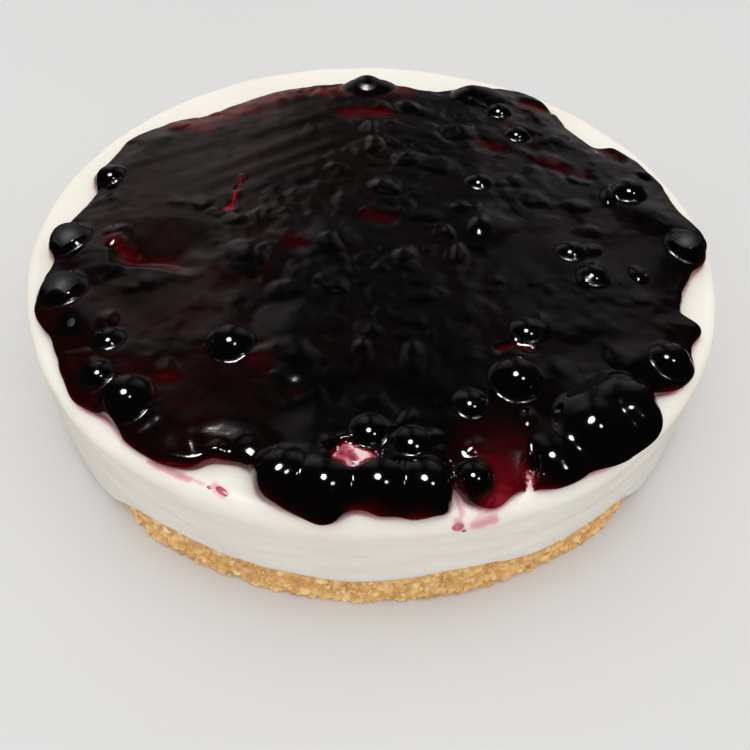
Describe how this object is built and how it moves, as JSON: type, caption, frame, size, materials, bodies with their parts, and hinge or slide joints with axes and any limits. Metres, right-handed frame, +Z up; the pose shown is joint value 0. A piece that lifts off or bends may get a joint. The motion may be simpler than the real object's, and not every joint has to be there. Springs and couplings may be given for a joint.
{
  "type": "fruit cream cake",
  "caption": "Round chilled cream cake: crumb base, thick smooth cream layer and a glossy dark berry compote with whole berries on top",
  "frame": {"origin": "on the cake's axis, on the underside of the crumb base", "axes": "+Z up; -Y is the front, the side that faces the picture's camera; +X is to the right of it"},
  "size_m": [0.23, 0.2315, 0.0507],
  "materials": {
    "crumb": "rough pressed biscuit crumb",
    "cream": "smooth, soft and slightly moist",
    "compote": "wet glossy dark fruit glaze",
    "berry": "glossy glazed berry skin"
  },
  "bodies": {
    "root": {"crumb_base": "crumb", "cream_layer": "cream", "compote": "compote", "berry_01": "berry", "berry_02": "berry", "berry_03": "berry", "berry_04": "berry", "berry_05": "berry", "berry_06": "berry", "berry_07": "berry", "berry_08": "berry", "berry_09": "berry", "berry_10": "berry", "berry_11": "berry", "berry_12": "berry", "berry_13": "berry", "berry_14": "berry", "berry_15": "berry", "berry_16": "berry", "berry_17": "berry", "berry_18": "berry", "berry_19": "berry", "berry_20": "berry", "berry_21": "berry", "berry_22": "berry", "berry_23": "berry", "berry_24": "berry", "berry_25": "berry", "berry_26": "berry", "berry_27": "berry", "berry_28": "berry", "berry_29": "berry", "berry_30": "berry", "berry_31": "berry", "berry_32": "berry", "berry_33": "berry", "berry_34": "berry", "berry_35": "berry", "berry_36": "berry", "berry_37": "berry", "berry_38": "berry", "berry_39": "berry", "berry_40": "berry", "berry_41": "berry", "berry_42": "berry", "berry_43": "berry"}
  },
  "joints": []
}
